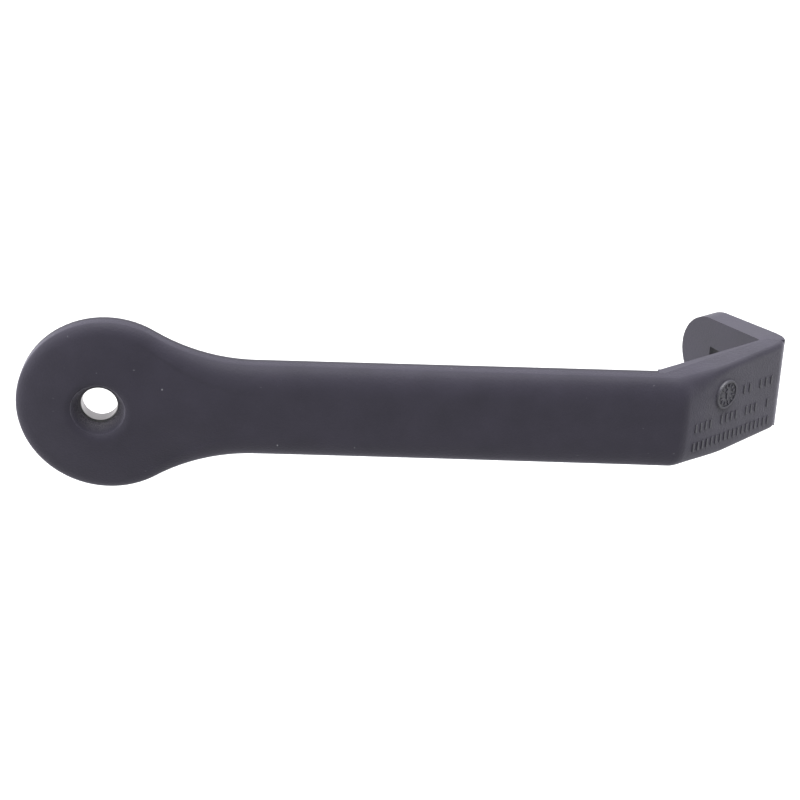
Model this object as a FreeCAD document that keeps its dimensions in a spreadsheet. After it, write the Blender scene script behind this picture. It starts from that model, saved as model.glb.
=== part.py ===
import FreeCAD, Part
import math
import os

import Sketcher

# Interior pull handle: a round screw eye, a slim bar, a leg bent rearwards and a hooked ear.
# Frame: X runs along the bar from the eye to the bend, Y points into the car body and is the
# eye's axis, Z is the width of the bar. The origin is the centre of the sleeve's rear face, which
# rests on the body panel. Everything is symmetric about the plane z = 0.

doc = FreeCAD.newDocument("PullHandle")

# ---------------------------------------------------------------- driving dimensions (mm, deg)
DIMENSIONS = {
    # front view
    "eye_radius": 17.6,
    "eye_offset": 1.55,          # centre of the round eye, beyond the hole axis
    "neck_radius": 36.9,
    "bar_half": 9.5,
    "bend_x": 113.3,
    "corner_half": 9.6,
    # plan view
    "panel_gap": 0.2,            # handle's rear face stands this far off the panel
    "bar_depth": 6.2,
    "inner_bend_x": 108.5,       # the leg's inner face leaves the bar's rear here
    "leg_angle": 42.4,           # of the outer face; the leg thins towards the corner
    "leg_length": 31.6,
    "leg_end_depth": 4.15,
    "ear_angle": 124.1,
    "ear_length": 26.2,
    "ear_root_depth": 5.3,
    "ear_end_depth": 4.5,
    "ear_end_radius": 8.5,
    "front_round": 3.6,
    "rear_round": 0.9,
    "bend_round": 4.0,
    "corner_round": 3.6,
    # square hole in the ear
    "ear_hole_size": 4.8,
    "ear_hole_place": 15.2,      # from the outer corner, along the ear
    # shells
    "cover_wall": 1.7,
    "shell_gap": 0.05,
    "bar_seam": 1.6,             # depth of the back cover
    "leg_lip": 0.55,             # depth of the carrier's bare lip at the corner
    "seam_bend_x": 109.3,        # the seam turns up the leg here
    "back_cover_end": 108.0,
    # recess in the front of the eye
    "recess_radius": 5.55,
    "recess_lip": 1.1,
    "throat_radius": 3.75,
    "throat_depth": 2.5,
    "floor_depth": 3.1,
    "cup_radius": 6.9,
    # bearing in the eye
    "bore_radius": 3.5,
    "sleeve_radius": 4.6,
    "sleeve_length": 2.75,
    "flange_radius": 7.0,
    "flange_depth": 0.6,
    "running_gap": 0.05,
    "bush_radius": 5.6,
    "bush_flange": 7.3,
    "bush_flange_depth": 0.5,
    "bush_length": 1.4,
    "clip_radius": 5.5,
    "clip_groove": 4.1,
    "clip_depth": 0.4,
    "clip_chamber": 6.0,
    "seal_radius": 5.2,
    "seal_bore": 3.65,
    "seal_depth": 0.5,
    "boss_radius": 9.0,
    # steel strip and its pins
    "strip_start": 13.0,
    "strip_end": 100.0,
    "strip_half": 5.0,
    "strip_depth": 1.2,
    "pin_radius": 1.5,
    "pin_hole_gap": 0.3,
    "pin_first": 24.0,
    "pin_pitch": 32.0,
    "pin_reach": 2.7,
}
PIN_COUNT = 3

sheet = doc.addObject("Spreadsheet::Sheet", "Dims")
for row, (alias, number) in enumerate(DIMENSIONS.items(), start=1):
    sheet.set(f"A{row}", alias)
    sheet.set(f"B{row}", str(number))
    sheet.setAlias(f"B{row}", alias)
doc.recompute()


def cell(alias):
    """The sheet's reference to one dimension."""
    return f"Dims.{alias}"


def number(text):
    """The value of a formula over the sheet."""
    return float(sheet.evalExpression(text))


# ---------------------------------------------------------------- formulas shared by the pieces
REAR = f"-{cell('panel_gap')}"
FRONT = f"{REAR} - {cell('bar_depth')}"
SEAM = f"{REAR} - {cell('bar_seam')}"
LEG = cell("leg_angle")
EAR = cell("ear_angle")
TURN = f"({EAR} - {LEG})"
LEG_SEAM = f"({cell('leg_end_depth')} - {cell('leg_lip')})"


def bend_point(bar_y, leg_offset):
    """Where the line y = bar_y meets the line leg_offset behind the leg's outer face."""
    rise = f"({bar_y} - ({FRONT}) - {leg_offset} * cos({LEG}))"
    x = f"{cell('bend_x')} - {leg_offset} * sin({LEG}) + {rise} / tan({LEG})"
    return x, bar_y


def corner_point(leg_offset, ear_offset):
    """Where a line behind the leg's outer face meets a line behind the ear's outer face."""
    along = (f"({cell('leg_length')} + ({leg_offset} * cos({TURN}) - {ear_offset})"
             f" / sin({TURN}))")
    x = f"{cell('bend_x')} + {along} * cos({LEG}) - {leg_offset} * sin({LEG})"
    y = f"{FRONT} + {along} * sin({LEG}) + {leg_offset} * cos({LEG})"
    return x, y


def ear_end_point(ear_offset):
    """The free end of the ear, ear_offset behind its outer face."""
    x0, y0 = corner_point("0", "0")
    x = f"{x0} + {cell('ear_length')} * cos({EAR}) - {ear_offset} * sin({EAR})"
    y = f"{y0} + {cell('ear_length')} * sin({EAR}) + {ear_offset} * cos({EAR})"
    return x, y


# ---------------------------------------------------------------- sketch and feature helpers
def settle(feature):
    """Recompute, and stop at once if the feature did not come out."""
    doc.recompute()
    if {"Invalid", "Error", "Touched"} & set(feature.State):
        raise RuntimeError(f"{feature.Name}: {feature.getStatusString()}")
    return feature


def new_body(label):
    body = doc.addObject("PartDesign::Body", label)
    body.Label = label
    return body


def sketch_on(body, role, height="0"):
    """A sketch on one of the body's origin planes, moved along the plane's normal."""
    sketch = body.newObject("Sketcher::SketchObject", f"{body.Name}_profile")
    plane = next(item for item in body.Origin.OriginFeatures if item.Role == role)
    sketch.AttachmentSupport = [(plane, "")]
    sketch.MapMode = "FlatFace"
    sketch.setExpression("AttachmentOffset.Base.z", height)
    doc.recompute()
    return sketch


def front_sketch(body, y_text):
    """A front view at y: its X is X, its Y is Z and it faces the front."""
    return sketch_on(body, "XZ_Plane", f"-({y_text})")


def ear_sketch(body):
    """A view square onto the ear's outer face: X runs along the ear from the outer corner."""
    sketch = front_sketch(body, "0")
    x, y = corner_point("0", "0")
    turn = FreeCAD.Rotation(FreeCAD.Vector(0, 1, 0), number(EAR))
    sketch.AttachmentOffset = FreeCAD.Placement(FreeCAD.Vector(), turn)
    sketch.setExpression("AttachmentOffset.Base.x", x)
    sketch.setExpression("AttachmentOffset.Base.z", f"-({y})")
    sketch.setExpression("AttachmentOffset.Rotation.Angle", EAR)
    doc.recompute()
    return sketch


def bind(sketch, constraint, formula):
    index = sketch.addConstraint(constraint)
    sketch.setExpression(f"Constraints[{index}]", formula)


def pin_point(sketch, geometry, position, x_text, y_text):
    """Hold one point of the sketch at two formulas."""
    for kind, text in (("DistanceX", x_text), ("DistanceY", y_text)):
        held = Sketcher.Constraint(kind, -1, 1, geometry, position, number(text))
        bind(sketch, held, text)


def draw_polygon(sketch, corners):
    """A closed polygon whose corners are pairs of formulas."""
    points = [FreeCAD.Vector(number(x), number(y), 0) for x, y in corners]
    lines = []
    for start, end in zip(points, points[1:] + points[:1]):
        lines.append(sketch.addGeometry(Part.LineSegment(start, end)))
    for this, following in zip(lines, lines[1:] + lines[:1]):
        sketch.addConstraint(Sketcher.Constraint("Coincident", this, 2, following, 1))
    for line, (x_text, y_text) in zip(lines, corners):
        pin_point(sketch, line, 1, x_text, y_text)


def draw_circle(sketch, x_text, y_text, radius_text):
    centre = FreeCAD.Vector(number(x_text), number(y_text), 0)
    normal = FreeCAD.Vector(0, 0, 1)
    circle = sketch.addGeometry(Part.Circle(centre, normal, number(radius_text)))
    pin_point(sketch, circle, 3, x_text, y_text)
    bind(sketch, Sketcher.Constraint("Radius", circle, number(radius_text)), radius_text)


def draw_box(sketch, x_low, x_high, half):
    """A rectangle from x_low to x_high, half above and half below the axis."""
    low = f"-({half})"
    draw_polygon(sketch, [(x_low, low), (x_high, low), (x_high, half), (x_low, half)])


def grow(body, kind, sketch, length, **settings):
    """A Pad or Pocket of the sketch; the length is a formula."""
    feature = body.newObject(f"PartDesign::{kind}", f"{body.Name}_{kind}")
    feature.Profile = sketch
    for name, setting in settings.items():
        setattr(feature, name, setting)
    feature.setExpression("Length", length)
    sketch.Visibility = False
    return settle(feature)


def cut_away(body, sketch, length, **settings):
    """A Pocket that must remove material."""
    before = body.Shape.Volume
    feature = grow(body, "Pocket", sketch, length, **settings)
    if body.Shape.Volume > before - 1e-3:
        raise RuntimeError(f"{feature.Name} removed nothing")
    return feature


def turned(body, corners, groove=False):
    """Revolve, or cut, a profile round the Y axis; its corners are radius and y."""
    sketch = sketch_on(body, "XY_Plane")
    draw_polygon(sketch, corners)
    before = body.Shape.Volume if groove else 0.0
    kind = "Groove" if groove else "Revolution"
    feature = body.newObject(f"PartDesign::{kind}", f"{body.Name}_{kind}")
    feature.Profile = sketch
    feature.ReferenceAxis = (sketch, ["V_Axis"])
    feature.Angle = 360
    sketch.Visibility = False
    settle(feature)
    if groove and body.Shape.Volume > before - 1e-3:
        raise RuntimeError(f"{feature.Name} removed nothing")
    return feature


def round_edges(body, wanted, radius, label):
    """Fillet every edge of the body's tip that the test accepts."""
    tip = body.Tip
    names = [f"Edge{i}" for i, edge in enumerate(tip.Shape.Edges, start=1) if wanted(edge)]
    if not names:
        raise RuntimeError(f"{label}: no edge to round")
    fillet = body.newObject("PartDesign::Fillet", label)
    fillet.Base = (tip, names)
    fillet.setExpression("Radius", radius)
    return settle(fillet)


def is_upright(edge, x, y, slack=0.05):
    """A straight edge along Z through the point (x, y)."""
    box = edge.BoundBox
    flat = box.XLength < 1e-4 and box.YLength < 1e-4 and box.ZLength > 1.0
    return flat and abs(box.XMin - x) < slack and abs(box.YMin - y) < slack


def point_of(corner):
    return number(corner[0]), number(corner[1])


# ---------------------------------------------------------------- forms shared by the shells
def eye_and_bar(body, inset, y_front, y_rear, x_end):
    """The eye, its two necks and the bar, inset all round, between two depths."""
    depth = f"({y_rear}) - ({y_front})"
    eye = front_sketch(body, y_rear)
    draw_circle(eye, cell("eye_offset"), "0", f"{cell('eye_radius')} - {inset}")
    grow(body, "Pad", eye, depth)
    bar = front_sketch(body, y_rear)
    draw_box(bar, cell("eye_offset"), x_end, f"{cell('bar_half')} - {inset}")
    grow(body, "Pad", bar, depth)
    half = number(f"{cell('bar_half')} - {inset}")

    def at_neck(edge):
        box = edge.BoundBox
        along_y = box.XLength < 1e-4 and box.ZLength < 1e-4 and box.YLength > 0.3
        inner = 5.0 < box.XMin < number(cell("eye_radius")) + 3.0
        return along_y and inner and abs(abs(box.ZMin) - half) < 0.05

    round_edges(body, at_neck, f"{cell('neck_radius')} + {inset}", f"{body.Name}_neck")


def leg_band(body, corners, half):
    """A plan profile, as wide as the bar less its inset."""
    sketch = sketch_on(body, "XY_Plane")
    draw_polygon(sketch, corners)
    grow(body, "Pad", sketch, f"2 * ({half})", Midplane=True)


def taper_leg(body):
    """Trim the leg's sides from the bar's width, at the back cover's end, to the corner's."""
    start_x, corner_x = BAR_END, corner_point("0", "0")[0]
    start_half, corner_half = cell("bar_half"), cell("corner_half")
    past_x, clear = f"{corner_x} + 5", f"{corner_half} + 2"
    past = f"{corner_half} + 5 * ({corner_half} - {start_half}) / ({corner_x} - {start_x})"
    for side in ("", "-"):
        sketch = front_sketch(body, "0")
        draw_polygon(sketch, [
            (start_x, f"{side}({start_half})"), (past_x, f"{side}({past})"),
            (past_x, f"{side}({clear})"), (start_x, f"{side}({clear})")])
        cut_away(body, sketch, "200", Midplane=True)


def round_corner(body):
    """Round the upright outer corner where the leg meets the ear."""
    radius = cell("corner_round")
    centre, outside = corner_point(radius, radius), corner_point("-0.5", "-0.5")
    leg_touch, ear_touch = corner_point("0", radius), corner_point(radius, "0")
    sketch = sketch_on(body, "XY_Plane")
    places = [FreeCAD.Vector(*point_of(spot), 0) for spot in (ear_touch, outside, leg_touch)]
    first = sketch.addGeometry(Part.LineSegment(places[0], places[1]))
    second = sketch.addGeometry(Part.LineSegment(places[1], places[2]))
    middle = FreeCAD.Vector(*point_of(centre), 0)
    circle = Part.Circle(middle, FreeCAD.Vector(0, 0, 1), number(radius))
    low, high = (math.radians(number(angle) - 90) for angle in (LEG, EAR))
    arc = sketch.addGeometry(Part.ArcOfCircle(circle, low, high))
    for joint in [(first, 2, second, 1), (second, 2, arc, 1), (arc, 2, first, 1)]:
        sketch.addConstraint(Sketcher.Constraint("Coincident", *joint))
    pin_point(sketch, first, 2, *outside)
    pin_point(sketch, arc, 3, *centre)
    pin_point(sketch, second, 2, *leg_touch)
    touch_x = Sketcher.Constraint("DistanceX", -1, 1, first, 1, places[0].x)
    bind(sketch, touch_x, ear_touch[0])
    cut_away(body, sketch, "60", Midplane=True)


# ---------------------------------------------------------------- the two plastic shells
FLOOR = f"{FRONT} + {cell('floor_depth')}"
BUSH_REAR = f"-({cell('flange_depth')} + {cell('running_gap')})"
BUSH_SHOULDER = f"{BUSH_REAR} - {cell('bush_flange_depth')}"
BUSH_FRONT = f"{BUSH_REAR} - {cell('bush_length')}"
CLIP_REAR = f"{BUSH_FRONT} - {cell('running_gap')}"
CLIP_FRONT = f"{CLIP_REAR} - {cell('clip_depth')}"
SLEEVE_FRONT = f"-{cell('sleeve_length')}"
MITRE = corner_point(LEG_SEAM, LEG_SEAM)
BAR_END = cell("back_cover_end")
AHEAD = f"{FRONT} - 1"
BEHIND = "1"


def shell_plan(inset):
    """Plan of the bend and the leg between an inset face and the seam, mitred at the corner."""
    front = f"{FRONT} + {inset}"
    return [(BAR_END, front), bend_point(front, inset), corner_point(inset, inset), MITRE,
            (cell("seam_bend_x"), SEAM), (BAR_END, SEAM)]


def on_front_rim(edge):
    """An edge between the front faces and the top, the bottom or the round side."""
    box = edge.BoundBox
    along = edge.FirstParameter + (edge.LastParameter - edge.FirstParameter) / 2
    middle = edge.valueAt(along)
    narrow, wide = number(cell("bar_half")), number(cell("corner_half"))
    level = box.ZLength < wide - narrow + 0.01 and narrow - 0.01 < abs(middle.z) < wide + 0.01
    round_side = box.YLength < 1e-4 and box.ZLength > 0.5 and box.XMax < 45
    face_y = number(FRONT)
    past_bend = middle.x - number(cell("bend_x"))
    if past_bend > 0:
        face_y += past_bend * number(f"tan({LEG})")
    return (level or round_side) and middle.y < face_y + 1.2


def make_core(label, inset):
    """What fills the front cover: eye, bar and leg, with a cup for the cover's recess."""
    body = new_body(label)
    front = f"{FRONT} + {inset}"
    eye_and_bar(body, inset, front, SEAM, cell("bend_x"))
    leg_band(body, shell_plan(inset), f"{cell('bar_half')} - {inset}")
    turned(body, [("0", AHEAD), (cell("cup_radius"), AHEAD), (cell("cup_radius"), FLOOR),
                  ("0", FLOOR)], groove=True)
    return body


def make_front_cover():
    form = new_body("cover_form")
    eye_and_bar(form, "0", FRONT, SEAM, cell("bend_x"))
    leg_band(form, shell_plan("0"), cell("corner_half"))
    taper_leg(form)
    bend = point_of(bend_point(FRONT, "0"))
    round_edges(form, lambda edge: is_upright(edge, *bend), cell("bend_round"), "cover_bend")
    round_edges(form, on_front_rim, cell("front_round"), "cover_front_rim")
    round_corner(form)
    lip = f"{cell('recess_radius')} + {cell('recess_lip')}"
    turned(form, [
        ("0", AHEAD), (lip, AHEAD), (lip, FRONT),
        (cell("recess_radius"), f"{FRONT} + {cell('recess_lip')}"),
        (cell("throat_radius"), f"{FRONT} + {cell('throat_depth')}"),
        (cell("throat_radius"), BEHIND), ("0", BEHIND)], groove=True)
    cover = doc.addObject("Part::Cut", "front_cover")
    cover.Base = form
    cover.Tool = make_core("cover_hollow", cell("cover_wall"))
    doc.recompute()
    return cover


def trim_ear(body):
    """Shape the ear's sides and round end, and cut its square hole."""
    sketch = ear_sketch(body)
    length, end, depth = cell("ear_length"), cell("ear_end_radius"), cell("ear_root_depth")
    past = f"{length} + 2"
    draw_polygon(sketch, [("-2", "-13"), (past, "-13"), (past, "13"), ("-2", "13")])
    draw_tongue(sketch, "-1", cell("leg_end_depth"), cell("corner_half"),
                f"{length} - {end}", end)
    cut_away(body, sketch, f"2 * ({depth} + 0.1)", Midplane=True)
    hole = ear_sketch(body)
    half = f"{cell('ear_hole_size')} / 2"
    draw_box(hole, f"{cell('ear_hole_place')} - {half}", f"{cell('ear_hole_place')} + {half}",
             half)
    cut_away(body, hole, f"2 * ({depth} + 1)", Midplane=True)


def draw_tongue(sketch, root, shoulder, half, centre, radius):
    """Parallel sides up to the shoulder, then sides that run onto a half-round end."""
    low_side = [(root, f"-({half})"), (shoulder, f"-({half})"), (centre, f"-({radius})")]
    high_side = [(centre, radius), (shoulder, half), (root, half)]
    lines = []
    for side in (low_side, high_side, [high_side[-1], low_side[0]]):
        points = [FreeCAD.Vector(number(x), number(y), 0) for x, y in side]
        for start, end in zip(points, points[1:]):
            lines.append(sketch.addGeometry(Part.LineSegment(start, end)))
    middle = FreeCAD.Vector(number(centre), 0, 0)
    circle = Part.Circle(middle, FreeCAD.Vector(0, 0, 1), number(radius))
    arc = sketch.addGeometry(Part.ArcOfCircle(circle, -math.pi / 2, math.pi / 2))
    outline = lines[:2] + [arc] + lines[2:]
    for this, following in zip(outline, outline[1:] + outline[:1]):
        sketch.addConstraint(Sketcher.Constraint("Coincident", this, 2, following, 1))
    for line, (x_text, y_text) in zip((lines[0], lines[1]), low_side):
        pin_point(sketch, line, 1, x_text, y_text)
    for line, (x_text, y_text) in zip((lines[3], lines[4]), high_side[1:]):
        pin_point(sketch, line, 1, x_text, y_text)
    pin_point(sketch, arc, 3, centre, "0")
    pin_point(sketch, lines[1], 2, *low_side[2])
    bind(sketch, Sketcher.Constraint("DistanceX", -1, 1, lines[2], 1, middle.x), centre)


def make_carrier():
    """The rigid moulding: the core, a bare lip behind bend and leg, and the bare ear."""
    inset = f"({cell('cover_wall')} + {cell('shell_gap')})"
    body = make_core("carrier", inset)
    inner_corner = corner_point(cell("leg_end_depth"), cell("ear_root_depth"))
    leg_band(body, [
        (BAR_END, SEAM), (cell("seam_bend_x"), SEAM), MITRE, inner_corner,
        (cell("inner_bend_x"), REAR), (BAR_END, REAR)], cell("corner_half"))
    leg_band(body, [
        corner_point("0", "0"), MITRE, inner_corner, ear_end_point(cell("ear_end_depth")),
        ear_end_point("0")],
        cell("corner_half"))
    taper_leg(body)
    trim_ear(body)
    round_corner(body)
    boss = front_sketch(body, REAR)
    draw_circle(boss, "0", "0", cell("boss_radius"))
    grow(body, "Pad", boss, cell("bar_seam"))
    bush_bore = f"{cell('bush_radius')} + {cell('shell_gap')}"
    counterbore = f"{cell('bush_flange')} + {cell('shell_gap')}"
    turned(body, [
        ("0", FLOOR), (cell("clip_chamber"), FLOOR), (cell("clip_chamber"), BUSH_FRONT),
        (bush_bore, BUSH_FRONT), (bush_bore, BUSH_SHOULDER), (counterbore, BUSH_SHOULDER),
        (counterbore, BEHIND), ("0", BEHIND)], groove=True)
    slot = front_sketch(body, SEAM)
    gap = cell("shell_gap")
    draw_box(slot, f"{cell('strip_start')} - {gap}", f"{cell('strip_end')} + {gap}",
             f"{cell('strip_half')} + {gap}")
    cut_away(body, slot, cell("strip_depth"), Reversed=True)
    holes = front_sketch(body, SEAM)
    draw_pin_circles(holes, f"{cell('pin_radius')} + {gap}")
    cut_away(body, holes, f"{cell('pin_reach')} + {gap}", Reversed=True)
    return body


def draw_pin_circles(sketch, radius):
    for index in range(PIN_COUNT):
        place = f"{cell('pin_first')} + {index} * {cell('pin_pitch')}"
        draw_circle(sketch, place, "0", radius)


def make_back_cover():
    """The rear half of eye and bar, with the pins that hold it and the steel strip."""
    body = new_body("back_cover")
    eye_and_bar(body, "0", SEAM, REAR, f"{BAR_END} - {cell('shell_gap')}")
    rear = number(REAR)

    def on_rear_rim(edge):
        box = edge.BoundBox
        return box.YLength < 1e-4 and abs(box.YMin - rear) < 1e-3 and box.XMin < 102

    round_edges(body, on_rear_rim, cell("rear_round"), "back_cover_rim")
    hole = front_sketch(body, REAR)
    draw_circle(hole, "0", "0", f"{cell('boss_radius')} + {cell('shell_gap')}")
    cut_away(body, hole, f"2 * {cell('bar_seam')} + 1", Midplane=True)
    pins = front_sketch(body, SEAM)
    draw_pin_circles(pins, cell("pin_radius"))
    grow(body, "Pad", pins, cell("pin_reach"))
    return body


# ---------------------------------------------------------------- strip and bearing parts
def make_core_strip():
    body = new_body("core_strip")
    profile = front_sketch(body, SEAM)
    draw_box(profile, cell("strip_start"), cell("strip_end"), cell("strip_half"))
    grow(body, "Pad", profile, cell("strip_depth"))
    holes = front_sketch(body, SEAM)
    draw_pin_circles(holes, f"{cell('pin_radius')} + {cell('pin_hole_gap')}")
    cut_away(body, holes, f"2 * {cell('strip_depth')} + 1", Midplane=True)
    return body


def make_eye_sleeve():
    """A turned steel sleeve with a rear flange and a groove for the retaining ring."""
    body = new_body("eye_sleeve")
    turned(body, [
        (cell("bore_radius"), SLEEVE_FRONT), (cell("sleeve_radius"), SLEEVE_FRONT),
        (cell("sleeve_radius"), CLIP_FRONT), (cell("clip_groove"), CLIP_FRONT),
        (cell("clip_groove"), CLIP_REAR), (cell("sleeve_radius"), CLIP_REAR),
        (cell("sleeve_radius"), f"-{cell('flange_depth')}"),
        (cell("flange_radius"), f"-{cell('flange_depth')}"), (cell("flange_radius"), "0"),
        (cell("bore_radius"), "0")])
    return body


def make_pivot_bush():
    body = new_body("pivot_bush")
    bore = f"{cell('sleeve_radius')} + {cell('running_gap')}"
    turned(body, [
        (bore, BUSH_FRONT), (cell("bush_radius"), BUSH_FRONT),
        (cell("bush_radius"), BUSH_SHOULDER), (cell("bush_flange"), BUSH_SHOULDER),
        (cell("bush_flange"), BUSH_REAR), (bore, BUSH_REAR)])
    return body


def make_retaining_ring():
    body = new_body("retaining_ring")
    turned(body, [
        (cell("clip_groove"), CLIP_FRONT), (cell("clip_radius"), CLIP_FRONT),
        (cell("clip_radius"), CLIP_REAR), (cell("clip_groove"), CLIP_REAR)])
    return body


def make_sleeve_ring():
    body = new_body("sleeve_ring")
    front = f"{SLEEVE_FRONT} - {cell('seal_depth')}"
    turned(body, [
        (cell("seal_bore"), front), (cell("seal_radius"), front),
        (cell("seal_radius"), SLEEVE_FRONT), (cell("seal_bore"), SLEEVE_FRONT)])
    return body


PIECES = [
    make_front_cover(), make_carrier(), make_back_cover(), make_core_strip(),
    make_eye_sleeve(), make_pivot_bush(), make_retaining_ring(), make_sleeve_ring(),
]
doc.recompute()

for item in doc.Objects:
    if {"Invalid", "Error"} & set(item.State):
        raise RuntimeError(f"{item.Name}: {item.State}")
for piece in PIECES:
    if piece.Shape.isNull() or not piece.Shape.isValid() or len(piece.Shape.Solids) != 1:
        raise RuntimeError(f"{piece.Label}: shape is not one valid solid")

os.makedirs("parts", exist_ok=True)
for piece in PIECES:
    piece.Shape.exportStep(f"parts/{piece.Label}.step")
    print(piece.Label, round(piece.Shape.Volume, 1))
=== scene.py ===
import math

import bmesh
import bpy
from mathutils import Matrix, Vector


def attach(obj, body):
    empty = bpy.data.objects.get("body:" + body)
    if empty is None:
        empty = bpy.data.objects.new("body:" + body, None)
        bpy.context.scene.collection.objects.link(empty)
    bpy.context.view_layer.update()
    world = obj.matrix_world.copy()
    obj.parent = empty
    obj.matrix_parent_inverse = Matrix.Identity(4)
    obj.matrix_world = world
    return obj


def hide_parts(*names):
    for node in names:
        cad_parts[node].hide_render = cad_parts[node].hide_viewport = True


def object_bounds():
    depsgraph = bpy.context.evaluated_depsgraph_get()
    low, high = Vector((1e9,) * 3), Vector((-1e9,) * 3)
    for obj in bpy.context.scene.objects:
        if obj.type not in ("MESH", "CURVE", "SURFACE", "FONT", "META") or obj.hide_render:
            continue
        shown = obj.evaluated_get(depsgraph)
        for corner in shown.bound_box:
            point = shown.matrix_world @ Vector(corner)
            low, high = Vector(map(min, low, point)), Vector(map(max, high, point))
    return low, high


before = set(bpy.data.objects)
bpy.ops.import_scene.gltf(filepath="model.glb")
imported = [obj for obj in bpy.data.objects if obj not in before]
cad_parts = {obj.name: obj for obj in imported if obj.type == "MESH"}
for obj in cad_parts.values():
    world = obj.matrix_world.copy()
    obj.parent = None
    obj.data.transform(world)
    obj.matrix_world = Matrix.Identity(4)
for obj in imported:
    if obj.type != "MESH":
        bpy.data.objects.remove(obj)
cad_low, cad_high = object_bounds()

# An interior pull handle: round screw eye, slim bar, leg bent rearwards and hooked ear.
# X runs along the bar, Y into the car body (the front faces -Y), Z across the bar.

MM = 0.001

# ------------------------------------------------------------------ dimensions (mm, degrees)
EYE_RADIUS = 17.6
EYE_OFFSET = 1.55            # the round eye's centre, beyond the hole axis
NECK_RADIUS = 36.9
BAR_HALF = 9.5
CORNER_HALF = 9.6
BEND_X = 113.3
SEAM_BEND_X = 109.3          # the seam turns up the leg here
LEG_ANGLE = math.radians(42.4)
EAR_ANGLE = math.radians(124.1)
LEG_LENGTH = 31.6
TAPER_START = 108.0          # the leg starts to widen here, before the bend
BEND_ROUND = 3.6
CORNER_ROUND = 3.6
FRONT_Y = -6.4
SEAM_Y = -1.8
LEG_SEAM = 3.6               # the seam's depth behind the leg's outer face, at the corner
SEAM_SHY = 1.0               # the bar's sections stop this far short of the seam's bend
SEAM_LEAVE, SEAM_STOP = 0.08, 0.97   # where the leg's sections meet the seam, as shares
WALL = 1.7

BAR_EDGE = (5.0, 2.6)        # width and depth of the soft front edge
EYE_EDGE = (2.2, 1.2)
LEG_EDGE = (1.3, 1.1)        # the leg's own edges are tighter
BAR_CROWN = (9.4, 0.6)       # the whole front is slightly pillowed besides
EYE_CROWN = (14.0, 1.8)
NO_CROWN = (1.0, 0.0)
EDGE_POWER = 2.15            # how square the soft edge is
EYE_TO_BAR = (8.0, 30.0)     # the eye's edge turns into the bar's between these X
EDGE_FADE = (-2.0, 14.0)     # the bar's edge turns into the leg's between these leg distances
INNER_EDGE = (0.3, 0.3)      # width and depth of the edge inside the cover

LIP_RADIUS = 6.8             # outer edge of the recess's soft lip
WALL_RADIUS = 5.0            # the bowl below the lip
BOWL_RADIUS = 4.1
THROAT_RADIUS = 3.75
LIP_DEPTH = 1.2
LIP_TURN = math.radians(66)  # how far the lip rolls over into the bowl
BOWL_DEPTH = 2.95
BOWL_CURVE = 1.5             # above 1, the bowl's wall is steep first and flatter below
FLOOR_DEPTH = 3.1
CUP_RADIUS = 6.9             # hollow behind the recess, where the carrier stands back

CAMERA_PLACE = (47.66, -367.0, 181.72)
CAMERA_HEADING = 1.65        # degrees to the right of +Y
CAMERA_DOWN = 26.18
CAMERA_ROLL = 2.3
CAMERA_LENS = 94.3


# ------------------------------------------------------------------ plan of bend, leg and corner
def direction(angle):
    return Vector((math.cos(angle), math.sin(angle)))


LEG_ALONG = direction(LEG_ANGLE)
LEG_INWARD = direction(LEG_ANGLE + math.pi / 2)
BEND = Vector((BEND_X, FRONT_Y))
CORNER = BEND + LEG_ALONG * LEG_LENGTH
TURN = EAR_ANGLE - LEG_ANGLE


def leg_point(along, depth):
    return BEND + LEG_ALONG * along + LEG_INWARD * depth


def mitre_point(depth):
    """Where the corner's mitre reaches the same depth behind leg and ear."""
    return leg_point(LEG_LENGTH - depth * math.tan(TURN / 2), depth)


def mix(a, b, share):
    return a + (b - a) * share


def smooth(low, high, value):
    share = min(max((value - low) / (high - low), 0.0), 1.0)
    return share * share * (3 - 2 * share)


def path_stations(bar_start):
    """(point on the outer face, point on the seam, leg distance), in plan, bar to mitre."""
    bend_reach = BEND_ROUND * math.tan(LEG_ANGLE / 2)
    bar_steps, bend_steps, leg_steps, corner_steps = 34, 12, 40, 6
    seam_bend, seam_end = Vector((SEAM_BEND_X, SEAM_Y)), mitre_point(LEG_SEAM)
    stations = []
    for i in range(1, bar_steps + 1):
        share = i / bar_steps
        x = mix(bar_start, BEND_X - bend_reach, share)
        seam_x = mix(bar_start, SEAM_BEND_X - SEAM_SHY, share)
        stations.append((Vector((x, FRONT_Y)), Vector((seam_x, SEAM_Y)), x - BEND_X))
    centre = Vector((BEND_X - bend_reach, FRONT_Y + BEND_ROUND))
    seam_start, seam_leave = stations[-1][1], mix(seam_bend, seam_end, SEAM_LEAVE)
    for i in range(1, bend_steps + 1):
        share = i / bend_steps
        outer = centre + direction(LEG_ANGLE * share - math.pi / 2) * BEND_ROUND
        if share <= 0.5:
            seam = mix(seam_start, seam_bend, share * 2)
        else:
            seam = mix(seam_bend, seam_leave, share * 2 - 1)
        stations.append((outer, seam, mix(-bend_reach, bend_reach, share)))
    corner_reach = CORNER_ROUND * math.tan(TURN / 2)
    leg_stop = LEG_LENGTH - corner_reach
    seam_stop = mix(seam_bend, seam_end, SEAM_STOP)
    for i in range(1, leg_steps + 1):
        share = i / leg_steps
        along = mix(bend_reach, leg_stop, share)
        stations.append((leg_point(along, 0), mix(seam_leave, seam_stop, share), along))
    centre = leg_point(leg_stop, CORNER_ROUND)
    for i in range(1, corner_steps + 1):
        share = i / corner_steps
        heading = LEG_ANGLE - math.pi / 2 + TURN / 2 * share
        outer = centre + direction(heading) * CORNER_ROUND
        stations.append((outer, mix(seam_stop, seam_end, share), LEG_LENGTH))
    return stations


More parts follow.
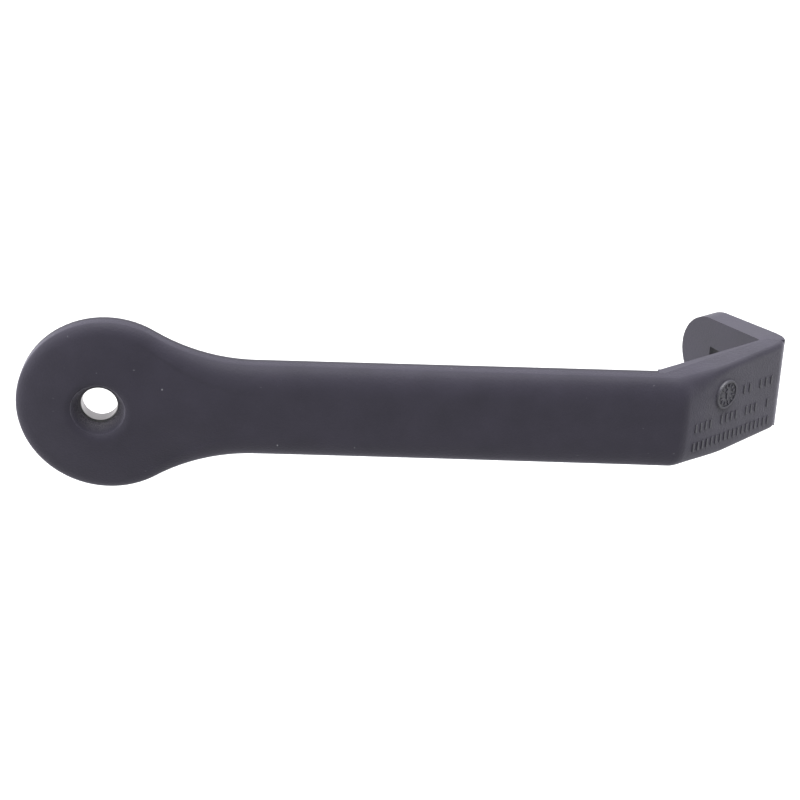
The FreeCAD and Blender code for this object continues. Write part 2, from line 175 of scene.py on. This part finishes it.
# ------------------------------------------------------------------ front view of eye and necks
NECK_X = EYE_OFFSET + math.sqrt((EYE_RADIUS + NECK_RADIUS) ** 2 - (BAR_HALF + NECK_RADIUS) ** 2)
NECK_ANGLE = math.atan2(BAR_HALF + NECK_RADIUS, NECK_X - EYE_OFFSET)
BAR_START = NECK_X + 1.0


def eye_outline():
    """Points (x, z) with outward normals, from the top of the bar round to its bottom."""
    neck_steps, eye_steps = 26, 110
    half = [(Vector((BAR_START, BAR_HALF)), Vector((0, 1)))]
    centre = Vector((NECK_X, BAR_HALF + NECK_RADIUS))
    for i in range(neck_steps):
        angle = mix(-math.pi / 2, NECK_ANGLE - math.pi, i / neck_steps)
        away = direction(angle)
        half.append((centre + away * NECK_RADIUS, -away))
    middle = Vector((EYE_OFFSET, 0))
    round_part = []
    for i in range(eye_steps + 1):
        angle = mix(NECK_ANGLE, 2 * math.pi - NECK_ANGLE, i / eye_steps)
        away = direction(angle)
        round_part.append((middle + away * EYE_RADIUS, away))
    mirrored = [(Vector((p.x, -p.y)), Vector((n.x, -n.y))) for p, n in reversed(half)]
    return half + round_part + mirrored


def inset_at(x, z):
    """Distance of a front-view point from the outline of eye, necks and bar."""
    z = abs(z)
    if x >= NECK_X:
        return BAR_HALF - z
    from_neck = Vector((x - NECK_X, z - BAR_HALF - NECK_RADIUS))
    if math.atan2(from_neck.y, from_neck.x) > NECK_ANGLE - math.pi:
        return from_neck.length - NECK_RADIUS
    return EYE_RADIUS - math.hypot(x - EYE_OFFSET, z)


def edge_drop(inset, width, depth):
    """Depth below the front face of a soft edge that reaches width in from the side."""
    if inset >= width:
        return 0.0
    share = 1 - inset / width
    return depth * (1 - (1 - share ** EDGE_POWER) ** (1 / EDGE_POWER))


def crown_drop(inset, width, depth):
    """The front's slight pillow, level along its middle."""
    return depth * max(1 - inset / width, 0.0) ** 2


EDGE_STEPS = 12
WALL_STEPS = 2
FRONT_STEPS = 30
DISC_STEPS = 18
DISC_CROWDING = 1.6          # above 1, the disc's rings lie closer near the soft edge
BOWL_STEPS = 7


def edge_profile(width, depth, crown, seam_depth):
    """(inset from the side, depth) from the seam up the wall and over the soft edge."""
    points = []
    for i in range(WALL_STEPS):
        points.append((0.0, mix(seam_depth, depth + crown[1], i / WALL_STEPS)))
    for i in range(EDGE_STEPS + 1):
        inset = width * (1 - math.cos(math.pi / 2 * i / EDGE_STEPS))
        points.append((inset, edge_drop(inset, width, depth) + crown_drop(inset, *crown)))
    return points


def recess_profile(shell_wall):
    """(radius, depth) from the edge of the lip down to the rear of the throat."""
    if shell_wall:
        steps = 3 * BOWL_STEPS - 1
        depths = [mix(WALL, FLOOR_DEPTH, i / steps) for i in range(steps + 1)]
        return [(CUP_RADIUS, depth) for depth in depths]
    points = []
    for i in range(BOWL_STEPS):
        angle = LIP_TURN * i / BOWL_STEPS
        radius = LIP_RADIUS - (LIP_RADIUS - WALL_RADIUS) * math.sin(angle)
        points.append((radius, LIP_DEPTH * (1 - math.cos(angle))))
    last_radius, last_depth = points[-1]
    for i in range(1, BOWL_STEPS + 1):
        share = i / BOWL_STEPS
        radius = mix(last_radius, BOWL_RADIUS, share ** BOWL_CURVE)
        points.append((radius, mix(last_depth, BOWL_DEPTH, share)))
    for i in range(1, BOWL_STEPS + 1):
        share = i / BOWL_STEPS
        points.append((mix(BOWL_RADIUS, THROAT_RADIUS, share),
                       mix(BOWL_DEPTH, FLOOR_DEPTH, share ** 0.5)))
    return points


# ------------------------------------------------------------------ the front cover's mesh
class CoverSurface:
    """One face of the cover, outer or inner: a polar grid on the eye and strips on the bar."""

    def __init__(self, vertices, faces, inner):
        self.vertices, self.faces, self.inner = vertices, faces, inner
        self.inset = WALL if inner else 0.0
        self.seam_loop, self.mouth_loop = [], []
        self.build()

    def add(self, x, y, z):
        self.vertices.append((x * MM, y * MM, z * MM))
        return len(self.vertices) - 1

    def face(self, *corners):
        self.faces.append(tuple(reversed(corners)) if self.inner else corners)

    def edge_at(self, x, along_leg=-1.0):
        """Width and depth of the soft edge, and the crown, at a place along the handle."""
        if self.inner:
            return *INNER_EDGE, NO_CROWN
        from_eye = smooth(*EYE_TO_BAR, x)
        on_leg = smooth(*EDGE_FADE, along_leg)
        width, depth = (mix(mix(eye, bar, from_eye), leg, on_leg)
                        for eye, bar, leg in zip(EYE_EDGE, BAR_EDGE, LEG_EDGE))
        crown_width, crown_depth = (mix(eye, bar, from_eye)
                                    for eye, bar in zip(EYE_CROWN, BAR_CROWN))
        return width, depth, (crown_width, mix(crown_depth, 0.0, on_leg))

    def build(self):
        front = FRONT_Y + self.inset
        rim = []                       # rim[ray][ring], over the wall and the soft edge
        for point, normal in eye_outline():
            ray = []
            for inset, drop in edge_profile(*self.edge_at(point.x), SEAM_Y - front):
                place = point - normal * (inset + self.inset)
                ray.append(self.add(place.x, front + drop, place.y))
            rim.append(ray)
        for this, following in zip(rim, rim[1:]):
            for low, high in zip(range(len(this)), range(1, len(this))):
                self.face(this[low], following[low], following[high], this[high])
        top, bottom = rim[0], rim[-1]
        across = self.cross_line(bottom[-1], top[-1])
        self.fill_disc([ray[-1] for ray in rim] + across)
        self.seam_loop = [ray[0] for ray in rim]
        self.add_strips(top + across[::-1] + bottom[::-1])

    def crown_at(self, x, z):
        return crown_drop(inset_at(x, z), *self.edge_at(x)[2])

    def cross_line(self, low, high):
        """Points across the bar's front, between its two soft edges, bottom to top."""
        x, z_low, z_high = BAR_START, self.vertices[low][2] / MM, self.vertices[high][2] / MM
        points = []
        for i in range(1, FRONT_STEPS):
            z = mix(z_low, z_high, i / FRONT_STEPS)
            points.append(self.add(x, FRONT_Y + self.inset + self.crown_at(x, z), z))
        return points

    def fill_disc(self, ring):
        """Rings from the soft edge in to the recess, then down its wall."""
        profile = recess_profile(self.inner)
        lip = profile[0][0]
        starts = [Vector((self.vertices[i][0], self.vertices[i][2])) / MM for i in ring]
        angles = [math.atan2(p.y, p.x) for p in starts]
        front = FRONT_Y + self.inset
        previous = ring
        for step in range(1, DISC_STEPS + 1):
            share = (step / DISC_STEPS) ** DISC_CROWDING
            current = []
            for start, angle in zip(starts, angles):
                place = mix(start, direction(angle) * lip, share)
                drop = self.crown_at(place.x, place.y)
                current.append(self.add(place.x, front + drop, place.y))
            self.close_ring(previous, current)
            previous = current
        for radius, depth in profile[1:]:
            current = []
            for angle in angles:
                place = direction(angle) * radius
                drop = depth + self.crown_at(place.x, place.y) * (1 - depth / FLOOR_DEPTH)
                current.append(self.add(place.x, FRONT_Y + drop, place.y))
            self.close_ring(previous, current)
            previous = current
        self.mouth_loop = previous

    def close_ring(self, outer, inner):
        count = len(outer)
        for i in range(count):
            j = (i + 1) % count
            self.face(outer[i], outer[j], inner[j], inner[i])

    def add_strips(self, section):
        """The bar, the bend and the leg, section by section, up to the mitre."""
        previous = section
        bottom_seam, top_seam = [], []
        for outer, seam, along in path_stations(BAR_START):
            deep = (seam - outer).length
            widening = max(outer.x - TAPER_START, 0) / (CORNER.x - TAPER_START)
            half = mix(BAR_HALF, CORNER_HALF, widening) - self.inset
            width, depth, crown = self.edge_at(outer.x, along)
            sides = edge_profile(width, depth, crown, deep - self.inset)
            places = [(half - inset, drop) for inset, drop in sides]
            for i in range(1, FRONT_STEPS):
                z = mix(half - width, width - half, i / FRONT_STEPS)
                places.append((z, crown_drop(half - abs(z), *crown)))
            places += [(inset - half, drop) for inset, drop in reversed(sides)]
            current = []
            for z, drop in places:
                spot = mix(outer, seam, (drop + self.inset) / deep)
                current.append(self.add(spot.x, spot.y, z))
            for i in range(len(current) - 1):
                self.face(current[i], previous[i], previous[i + 1], current[i + 1])
            top_seam.append(current[0])
            bottom_seam.append(current[-1])
            previous = current
        self.seam_loop += bottom_seam + previous[-2:0:-1] + top_seam[::-1]


def stitch(faces, outer, inner):
    count = len(outer)
    for i in range(count):
        j = (i + 1) % count
        faces.append((outer[i], inner[i], inner[j], outer[j]))


SHARP_ANGLE = math.radians(40)


def make_object(name, vertices, faces):
    mesh = bpy.data.meshes.new(name)
    mesh.from_pydata(vertices, [], faces)
    shaped = bmesh.new()
    shaped.from_mesh(mesh)
    bmesh.ops.recalc_face_normals(shaped, faces=shaped.faces)
    shaped.to_mesh(mesh)
    shaped.free()
    mesh.shade_smooth()
    mesh.set_sharp_from_angle(angle=SHARP_ANGLE)
    piece = bpy.data.objects.new(name, mesh)
    bpy.context.scene.collection.objects.link(piece)
    return piece


def make_front_cover():
    vertices, faces = [], []
    outer = CoverSurface(vertices, faces, inner=False)
    inner = CoverSurface(vertices, faces, inner=True)
    stitch(faces, outer.seam_loop, inner.seam_loop)
    stitch(faces, outer.mouth_loop, inner.mouth_loop)
    return make_object("front_cover_skin", vertices, faces)


# ------------------------------------------------------------------ marks moulded on the leg
MARK_RISE = 0.16
MARK_SINK = 0.3              # how far a mark's foot reaches into the leg
MARK_DRAFT = 0.06
TICK_WIDTH = 0.5             # equal blank ticks stand for the moulded characters
TICK_LENGTH = 1.9
ROW_SLOPE = -0.055           # the rows fall slightly towards the corner
UPPER_ROW = (3.9, 1.75, ((17.9, 2), (23.1, 3)))      # height, pitch, (start, count)
MIDDLE_ROW = (-1.1, 1.5, ((3.6, 4), (11.5, 4), (19.3, 3), (26.1, 1)))
LOWER_ROW = (-5.2, 1.38, ((3.4, 18),))
DIAL_PLACE = Vector((12.1, 3.6))
DIAL_RADIUS = 2.95
DIAL_RIM = 0.4
DIAL_RISE = 0.42
DIAL_FLOOR = 0.2
DIAL_TICKS = 12
DIAL_TICK_RING = 0.64        # the ticks' distance from the middle, as a share of the radius
DIAL_FOOT = 0.1              # the rim is this much wider at its foot
RIM_BEVEL = 0.08


def leg_place(along, z, rise):
    spot = leg_point(along, -rise)
    return (spot.x * MM, spot.y * MM, z * MM)


def add_prism(vertices, faces, outline, rise, draft=MARK_DRAFT):
    """A closed block on the leg's face, from an outline of (along, z), its top drawn in."""
    middle = sum((Vector(p) for p in outline), Vector((0, 0))) / len(outline)
    first, count = len(vertices), len(outline)
    for along, z in outline:
        vertices.append(leg_place(along, z, -MARK_SINK))
    for along, z in outline:
        away = Vector((along, z)) - middle
        top = middle + away * max(1 - draft / away.length, 0.2)
        vertices.append(leg_place(top.x, top.y, rise))
    faces.append(tuple(range(first, first + count)))
    faces.append(tuple(range(first + 2 * count - 1, first + count - 1, -1)))
    for i in range(count):
        j = (i + 1) % count
        faces.append((first + i, first + j, first + count + j, first + count + i))


def block(along, z, length, height, angle=0.0):
    """Corners of a rectangle centred on (along, z)."""
    turn = Matrix.Rotation(angle, 2)
    corners = [(-length, -height), (length, -height), (length, height), (-length, height)]
    return [Vector((along, z)) + turn @ (Vector(corner) / 2) for corner in corners]


def make_leg_marks():
    vertices, faces = [], []
    for height, pitch, groups in (UPPER_ROW, MIDDLE_ROW, LOWER_ROW):
        for start, count in groups:
            for i in range(count):
                along = start + i * pitch
                tick = block(along, height + ROW_SLOPE * along, TICK_WIDTH, TICK_LENGTH)
                add_prism(vertices, faces, tick, MARK_RISE)
    return make_object("leg_marks", vertices, faces)


def make_dial():
    """A date dial without figures: a raised rim, short ticks inside it and a pointer."""
    vertices, faces = [], []
    steps = 64
    foot, inside = DIAL_RADIUS + DIAL_FOOT, DIAL_RADIUS - DIAL_RIM
    profile = [(foot, -MARK_SINK), (foot, 0.0), (DIAL_RADIUS, DIAL_RISE - RIM_BEVEL),
               (DIAL_RADIUS - RIM_BEVEL, DIAL_RISE), (inside, DIAL_RISE), (inside, DIAL_FLOOR)]
    for i in range(steps):
        away = direction(2 * math.pi * i / steps)
        for radius, rise in profile:
            spot = DIAL_PLACE + away * radius
            vertices.append(leg_place(spot.x, spot.y, rise))
    count = len(profile)
    for i in range(steps):
        this, following = count * i, count * ((i + 1) % steps)
        for k in range(count - 1):
            faces.append((this + k, following + k, following + k + 1, this + k + 1))
    faces.append(tuple(count * i for i in range(steps)))
    faces.append(tuple(count * i + count - 1 for i in reversed(range(steps))))
    for i in range(DIAL_TICKS):
        angle = 2 * math.pi * (i + 0.5) / DIAL_TICKS
        spot = DIAL_PLACE + direction(angle) * (DIAL_RADIUS * DIAL_TICK_RING)
        add_prism(vertices, faces, block(*spot, 0.8, 0.3, angle), DIAL_RISE)
    add_prism(vertices, faces, block(*DIAL_PLACE, 0.4, 2.0), DIAL_RISE)
    tip = DIAL_PLACE + Vector((0, 1.3))
    head = [tip + Vector((-0.65, -0.8)), tip + Vector((0.65, -0.8)), tip]
    add_prism(vertices, faces, head, DIAL_RISE + 0.02)
    return make_object("date_dial", vertices, faces)


# ------------------------------------------------------------------ materials
BLOTCH_SCALE = 140.0
NOISE_SPAN = (0.3, 0.7)      # most of a noise's values lie between these


def new_material(name):
    material = bpy.data.materials.new(name)
    material.use_nodes = True
    nodes, links = material.node_tree.nodes, material.node_tree.links
    return material, nodes, links, nodes["Principled BSDF"]


def object_place(nodes):
    return nodes.new("ShaderNodeTexCoord").outputs["Object"]


def add_noise(nodes, links, place, scale, detail=2.0):
    noise = nodes.new("ShaderNodeTexNoise")
    links.new(place, noise.inputs["Vector"])
    noise.inputs["Scale"].default_value = scale
    noise.inputs["Detail"].default_value = detail
    return noise.outputs["Fac"]


def add_range(nodes, links, value, low, high, start=0.0, end=1.0, smooth_step=False):
    spread = nodes.new("ShaderNodeMapRange")
    if smooth_step:
        spread.interpolation_type = "SMOOTHSTEP"
    links.new(value, spread.inputs["Value"])
    settings = {"From Min": low, "From Max": high, "To Min": start, "To Max": end}
    for socket, number in settings.items():
        spread.inputs[socket].default_value = number
    return spread.outputs["Result"]


def add_colours(nodes, links, share, first, second):
    """A mix of two colours; each is an RGB triple or another node's output."""
    blend = nodes.new("ShaderNodeMix")
    blend.data_type = "RGBA"
    links.new(share, blend.inputs["Factor"])
    for socket, colour in ((blend.inputs[6], first), (blend.inputs[7], second)):
        if isinstance(colour, tuple):
            socket.default_value = (*colour, 1)
        else:
            links.new(colour, socket)
    return blend.outputs[2]


def add_math(nodes, links, operation, first, second):
    result = nodes.new("ShaderNodeMath")
    result.operation = operation
    links.new(first, result.inputs[0])
    links.new(second, result.inputs[1])
    return result.outputs[0]


def add_blotches(nodes, links, place):
    """Noise for faint blotches a few millimetres across."""
    return add_noise(nodes, links, place, BLOTCH_SCALE, detail=4.0)


def add_bump(nodes, links, shader, height, distance):
    bump = nodes.new("ShaderNodeBump")
    bump.inputs["Strength"].default_value = 1.0
    bump.inputs["Distance"].default_value = distance
    links.new(height, bump.inputs["Height"])
    links.new(bump.outputs["Normal"], shader.inputs["Normal"])


def add_mottle(nodes, links, shader, place, dark, light, grain, depth, roughness):
    """Faint blotches in colour and roughness over a fine moulded grain."""
    blotches = add_blotches(nodes, links, place)
    share = add_range(nodes, links, blotches, *NOISE_SPAN)
    links.new(add_colours(nodes, links, share, dark, light), shader.inputs["Base Color"])
    links.new(add_range(nodes, links, blotches, *NOISE_SPAN, *roughness),
              shader.inputs["Roughness"])
    add_bump(nodes, links, shader, add_noise(nodes, links, place, grain, detail=3.0), depth)


COAT_DARK, COAT_LIGHT = (0.0075, 0.0064, 0.0120), (0.0105, 0.0090, 0.0160)
SATIN_DARK, SATIN_LIGHT = (0.0072, 0.0062, 0.0112), (0.0105, 0.0092, 0.0160)
CARRIER_DARK, CARRIER_LIGHT = (0.0155, 0.0138, 0.0225), (0.0210, 0.0188, 0.0295)
DUST = (0.10, 0.10, 0.11)
BOWL_PAINTED_LIGHT = (0.060, 0.057, 0.064)   # painted light: the coat is lightened to a grainy grey on the recess wall, standing in for light falling into the bowl
BOWL_LIGHT_REACH = (3.9, 5.1)    # the painted light is full within the first radius and gone at the second
COAT_END = (114.0, 121.0)    # the coating fades out over this stretch of the leg, along X
COAT_RAGGED = 1.2            # and its end wanders this far either way


def bare_share(nodes, links, place):
    """0 on the coat and 1 past its ragged end on the leg."""
    axes = nodes.new("ShaderNodeSeparateXYZ")
    links.new(place, axes.inputs[0])
    ragged = add_range(nodes, links, add_noise(nodes, links, place, 400.0), *NOISE_SPAN,
                       -COAT_RAGGED * MM, COAT_RAGGED * MM)
    along = add_math(nodes, links, "ADD", axes.outputs["X"], ragged)
    return add_range(nodes, links, along, COAT_END[0] * MM, COAT_END[1] * MM,
                     smooth_step=True)


def painted_bowl_light_share(nodes, links, place):
    """Painted light on the recess wall: a grain that grows towards the hole, round the eye's
    axis.
    """
    flat = nodes.new("ShaderNodeVectorMath")
    flat.operation = "MULTIPLY"
    flat.inputs[1].default_value = (1, 0, 1)
    links.new(place, flat.inputs[0])
    reach = nodes.new("ShaderNodeVectorMath")
    reach.operation = "LENGTH"
    links.new(flat.outputs[0], reach.inputs[0])
    in_bowl = add_range(nodes, links, reach.outputs["Value"], BOWL_LIGHT_REACH[0] * MM,
                        BOWL_LIGHT_REACH[1] * MM, 1.0, 0.0)
    grain = add_range(nodes, links, add_noise(nodes, links, place, 4500.0), *NOISE_SPAN)
    return add_math(nodes, links, "MULTIPLY", in_bowl, grain)


def soft_touch():
    """Matte coating on eye and bar that runs out past the bend onto satin plastic."""
    material, nodes, links, shader = new_material("soft_touch")
    place = object_place(nodes)
    blotches = add_blotches(nodes, links, place)
    share = add_range(nodes, links, blotches, *NOISE_SPAN)
    coat = add_colours(nodes, links, share, COAT_DARK, COAT_LIGHT)
    satin = add_colours(nodes, links, share, SATIN_DARK, SATIN_LIGHT)
    bare = bare_share(nodes, links, place)
    surface = add_colours(nodes, links, bare, coat, satin)
    # painted light: the recess wall is lightened to a grainy grey where light falls into the
    # bowl
    surface = add_colours(nodes, links, painted_bowl_light_share(nodes, links, place), surface, BOWL_PAINTED_LIGHT)
    specks = add_noise(nodes, links, place, 1400.0, detail=0.0)
    dusty = add_range(nodes, links, specks, 0.86, 0.92)
    links.new(add_colours(nodes, links, dusty, surface, DUST), shader.inputs["Base Color"])
    links.new(add_range(nodes, links, bare, 0.0, 1.0, 0.72, 0.56), shader.inputs["Roughness"])
    shader.inputs["Specular IOR Level"].default_value = 0.2
    shader.inputs["Sheen Weight"].default_value = 0.25
    shader.inputs["Sheen Roughness"].default_value = 0.45
    shader.inputs["Sheen Tint"].default_value = (0.62, 0.60, 0.72, 1)
    grain = add_noise(nodes, links, place, 3200.0, detail=3.0)
    add_bump(nodes, links, shader, grain, 0.00008)
    return material


def moulded(name, dark, light, roughness=(0.46, 0.56)):
    """Injection-moulded plastic, or rubber with a rougher surface."""
    material, nodes, links, shader = new_material(name)
    add_mottle(nodes, links, shader, object_place(nodes), dark, light, 2600.0, 0.00005,
               roughness)
    shader.inputs["Specular IOR Level"].default_value = 0.35
    return material


def metal(name, dark, light, roughness, stretch):
    """Worked steel; the stretch draws the marks out along an axis."""
    material, nodes, links, shader = new_material(name)
    mapping = nodes.new("ShaderNodeMapping")
    mapping.inputs["Scale"].default_value = stretch
    links.new(object_place(nodes), mapping.inputs["Vector"])
    add_mottle(nodes, links, shader, mapping.outputs["Vector"], dark, light, 900.0, 0.00002,
               roughness)
    shader.inputs["Metallic"].default_value = 1.0
    return material


def assign(piece, material):
    piece.data.materials.clear()
    piece.data.materials.append(material)


def soften(piece, width):
    """A small bevel on the sharp edges of a CAD node."""
    bevel = piece.modifiers.new("softened", "BEVEL")
    bevel.limit_method = "ANGLE"
    bevel.angle_limit = SHARP_ANGLE
    bevel.width = width * MM
    bevel.segments = 3
    bevel.harden_normals = True


cover = make_front_cover()
assign(cover, soft_touch())
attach(cover, "handle")
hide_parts("front_cover")

for mark in (make_leg_marks(), make_dial()):
    assign(mark, moulded(f"{mark.name}_plastic", (0.020, 0.019, 0.026), (0.026, 0.025, 0.033)))
    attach(mark, "handle")

CAD_LOOKS = {
    "carrier": (moulded("carrier_satin", CARRIER_DARK, CARRIER_LIGHT), 0.15),
    "back_cover": (moulded("back_matte", COAT_DARK, COAT_LIGHT, roughness=(0.58, 0.66)), 0.0),
    "core_strip": (metal("rolled_steel", (0.42, 0.42, 0.43), (0.52, 0.52, 0.53), (0.32, 0.44),
                         (0.1, 1, 1)), 0.1),
    "eye_sleeve": (metal("plated_steel", (0.19, 0.18, 0.19), (0.27, 0.26, 0.27), (0.30, 0.42),
                         (1, 0.2, 1)), 0.12),
    "pivot_bush": (moulded("acetal", (0.56, 0.54, 0.48), (0.64, 0.62, 0.56)), 0.1),
    "retaining_ring": (metal("spring_steel", (0.14, 0.14, 0.15), (0.20, 0.20, 0.21),
                             (0.34, 0.44), (1, 0.2, 1)), 0.05),
    "sleeve_ring": (moulded("ring_rubber", (0.012, 0.012, 0.013), (0.018, 0.018, 0.02),
                            roughness=(0.6, 0.7)), 0.08),
}
for name, (material, bevel_width) in CAD_LOOKS.items():
    piece = bpy.data.objects[name]
    assign(piece, material)
    if bevel_width:
        soften(piece, bevel_width)


# ------------------------------------------------------------------ camera, light and floor
TOP_LIGHT = 11.0
LEFT_LIGHT = 4.0
NEAR_SIDE, FAR_SIDE = 0.28, 1.35     # strength of the surroundings in front and behind
SHADE_SPAN = (-0.9, 0.3)     # the directions along Y between which it changes
FLOOR_SHADE = 0.36
FLOOR_HALF = 2.0
FLOOR_DROP = 0.10            # the handle hangs this far above the floor, metres


def make_camera():
    data = bpy.data.cameras.new("camera")
    data.lens = CAMERA_LENS
    data.sensor_width = 36
    data.clip_start = 0.01
    camera = bpy.data.objects.new("camera", data)
    heading, down = math.radians(CAMERA_HEADING), math.radians(CAMERA_DOWN)
    look = Vector((math.sin(heading) * math.cos(down), math.cos(heading) * math.cos(down),
                   -math.sin(down)))
    turn = look.to_track_quat("-Z", "Y").to_matrix().to_4x4()
    roll = Matrix.Rotation(math.radians(CAMERA_ROLL), 4, "Z")
    camera.matrix_world = Matrix.Translation(Vector(CAMERA_PLACE) * MM) @ turn @ roll
    bpy.context.scene.collection.objects.link(camera)
    bpy.context.scene.camera = camera


def make_light(name, source, energy, spread):
    """A wide, soft light that shines from the source's direction towards the handle."""
    data = bpy.data.lights.new(name, "SUN")
    data.energy = energy
    data.angle = math.radians(spread)
    lamp = bpy.data.objects.new(name, data)
    lamp.location = Vector(source)
    lamp.rotation_euler = Vector(source).to_track_quat("Z", "Y").to_euler()
    bpy.context.scene.collection.objects.link(lamp)


def make_surroundings():
    """A white studio whose near side, in front of the handle, is dimmer."""
    world = bpy.data.worlds.new("studio")
    bpy.context.scene.world = world
    world.use_nodes = True
    nodes, links = world.node_tree.nodes, world.node_tree.links
    nodes["Background"].inputs["Color"].default_value = (1, 1, 1, 1)
    axes = nodes.new("ShaderNodeSeparateXYZ")
    links.new(nodes.new("ShaderNodeTexCoord").outputs["Generated"], axes.inputs[0])
    strength = add_range(nodes, links, axes.outputs["Y"], *SHADE_SPAN, NEAR_SIDE, FAR_SIDE)
    links.new(strength, nodes["Background"].inputs["Strength"])


def make_stage():
    half, height = FLOOR_HALF, cad_low.z - FLOOR_DROP
    corners = [(-half, -half, height), (half, -half, height), (half, half, height),
               (-half, half, height)]
    floor = make_object("floor", corners, [(0, 1, 2, 3)])
    pale, nodes, links, shader = new_material("floor_pale")
    shader.inputs["Base Color"].default_value = (FLOOR_SHADE, FLOOR_SHADE, FLOOR_SHADE, 1)
    shader.inputs["Roughness"].default_value = 0.9
    shader.inputs["Specular IOR Level"].default_value = 0.0
    assign(floor, pale)
    bpy.context.scene.view_settings.view_transform = "Standard"


make_camera()
make_surroundings()
make_stage()
make_light("top_light", (0, -0.15, 1), TOP_LIGHT, 50)
make_light("left_light", (-1, -0.35, 0.3), LEFT_LIGHT, 60)
